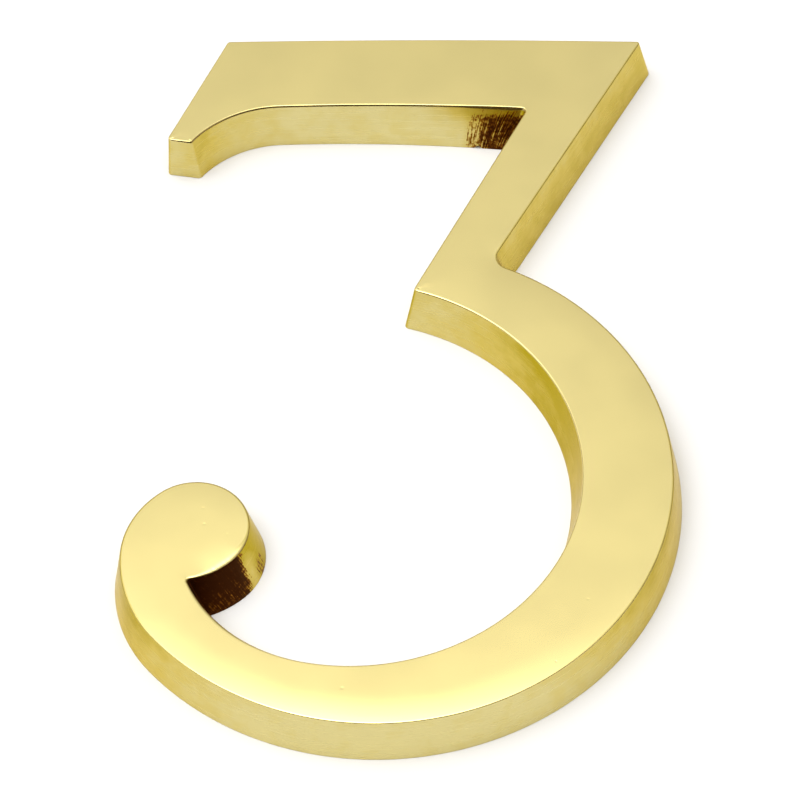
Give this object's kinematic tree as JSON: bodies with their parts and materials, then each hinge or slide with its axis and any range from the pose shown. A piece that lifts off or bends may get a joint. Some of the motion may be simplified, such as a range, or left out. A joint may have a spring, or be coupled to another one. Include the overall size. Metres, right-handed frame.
{
  "type": "brass door number",
  "caption": "Cast brass door number, a flat-topped figure 3 with a ball terminal, leaning polished walls, a flat back and tapped holes for hidden fixing studs.",
  "frame": {"origin": "centre of the back face's bounding box, in the plane of the flat back", "axes": "+X to the right as the figure is read, +Y up the figure, +Z out of the polished face"},
  "size_m": [0.0646, 0.1016, 0.006],
  "materials": {
    "brass": "hand-polished cast brass, satin to bright, with file marks and brown residue in the tight corners"
  },
  "bodies": {
    "root": {"door_number": "brass"}
  },
  "joints": []
}
